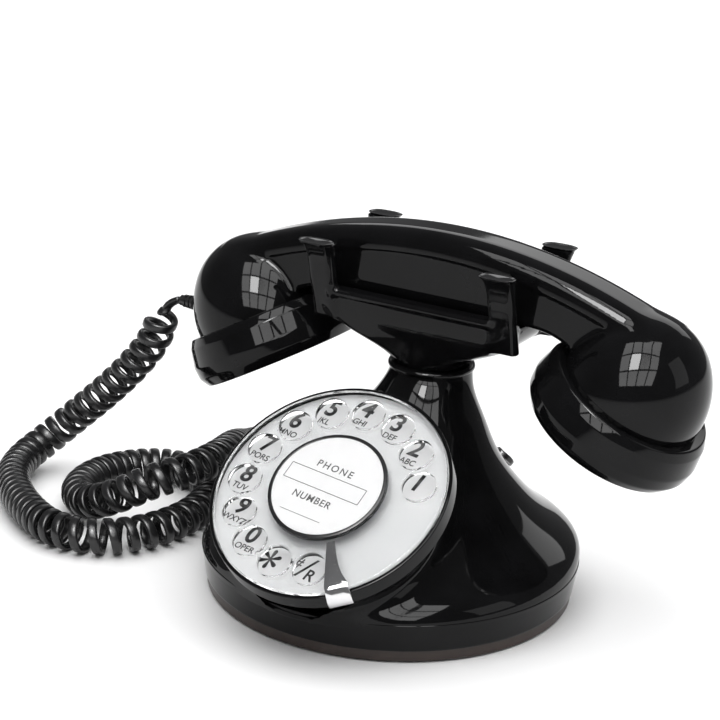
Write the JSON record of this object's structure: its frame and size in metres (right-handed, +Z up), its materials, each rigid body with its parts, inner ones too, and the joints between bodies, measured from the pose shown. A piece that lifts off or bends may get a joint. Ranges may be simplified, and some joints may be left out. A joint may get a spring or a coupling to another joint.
{
  "type": "rotary telephone",
  "caption": "Retro rotary telephone: bell-shaped base with tilted clear finger-wheel dial, horned cradle, lift-off handset and curly cord.",
  "frame": {"origin": "under the middle of the telephone, on the surface it stands on", "axes": "+Z up, the dial faces -Y, the handset lies along X with the earpiece at +X"},
  "size_m": [0.3098, 0.2008, 0.1418],
  "materials": {
    "black_gloss": "polished black moulded plastic",
    "brown_plate": "satin dark brown moulded plastic",
    "rubber": "matt black rubber",
    "screw_steel": "zinc-plated steel",
    "ballast": "grey cast iron",
    "brass_spacers": "turned brass",
    "circuit_board": "green solder-masked laminate",
    "chip_plastic": "matt black component plastic",
    "socket_plastic": "satin black socket plastic",
    "number_plate": "satin light grey printed plate",
    "zinc_plate": "pressed zinc-plated steel",
    "spring_steel": "blued spring steel",
    "polished_steel": "polished nickel plate",
    "cord_vinyl": "satin black vinyl",
    "plug_clear": "gloss black plug plastic",
    "clear_acrylic": "clear moulded acrylic",
    "clear_cover": "clear label cover",
    "white_plastic": "white moulded plastic",
    "black_trim": "satin black plastic",
    "label_paper": "white printed card"
  },
  "bodies": {
    "base": {"bell_housing": "black_gloss", "base_plate": "brown_plate", "rubber_feet": "rubber", "plate_screws": "screw_steel", "ballast_weight": "ballast", "board_spacers": "brass_spacers", "main_board": "circuit_board", "board_screws": "screw_steel", "board_chips": "chip_plastic", "sounder": "chip_plastic", "handset_socket": "socket_plastic", "line_socket": "socket_plastic", "number_plate": "number_plate", "mechanism_frame": "zinc_plate", "frame_pillars": "brass_spacers", "frame_screws": "screw_steel", "dial_bearing": "brass_spacers", "return_spring": "spring_steel", "pulse_contacts": "chip_plastic", "governor_cup": "brass_spacers", "finger_stop": "polished_steel", "neck_collar": "black_gloss", "cradle": "black_gloss", "cradle_screws": "screw_steel", "hook_bracket": "zinc_plate", "hook_contacts": "spring_steel", "ringer_control": "chip_plastic", "cord_lead": "cord_vinyl", "curly_cord": "cord_vinyl", "plug_lead": "cord_vinyl", "cord_plug": "plug_clear"},
    "dial": {"finger_wheel": "clear_acrylic", "wheel_hub": "white_plastic", "label_ring": "black_trim", "label_card": "label_paper", "label_cover": "clear_cover", "dial_shaft": "zinc_plate", "main_gear": "brass_spacers"},
    "governor": {"governor_pinion": "screw_steel", "governor_weights": "brass_spacers"},
    "hook": {"hook_plunger": "black_gloss"},
    "knob": {"ringer_knob": "black_trim", "knob_shaft": "zinc_plate"},
    "handset": {"handset_shell": "black_gloss", "ear_cap": "black_gloss", "mouth_cap": "black_gloss", "receiver_capsule": "chip_plastic", "microphone_capsule": "chip_plastic", "handset_weight": "ballast", "strain_relief": "cord_vinyl"}
  },
  "joints": [
    {"name": "handset_lift", "type": "slide", "parent": "base", "child": "handset", "axis": [-0.1599, 0, 0.9871], "range_m": [0, 0.11]},
    {"name": "dial_turn", "type": "hinge", "parent": "base", "child": "dial", "pos_m": [-0.0034, -0.04515, 0.0572], "axis": [0, 0.5976, -0.8018], "range_deg": [0, 331], "stiffness_Nm_per_rad": 0.012, "springref_deg": -45.84},
    {"name": "governor_turn", "type": "hinge", "parent": "base", "child": "governor", "pos_m": [-0.0034, -0.0247, 0.07244], "axis": [0, 0.5976, -0.8018], "range_deg": [-1330, 5]},
    {"name": "hook_travel", "type": "slide", "parent": "base", "child": "hook", "axis": [0, 0, 1], "range_m": [0, 0.005]},
    {"name": "knob_turn", "type": "hinge", "parent": "base", "child": "knob", "pos_m": [0.0182, 0.05655, 0.0415], "axis": [0.332, 0.6243, 0.7071], "range_deg": [0, 270]}
  ],
  "couplings": [
    {"joint": "governor_turn", "follows": "dial_turn", "ratio": -4},
    {"joint": "hook_travel", "follows": "handset_lift", "ratio": 0.045455}
  ]
}
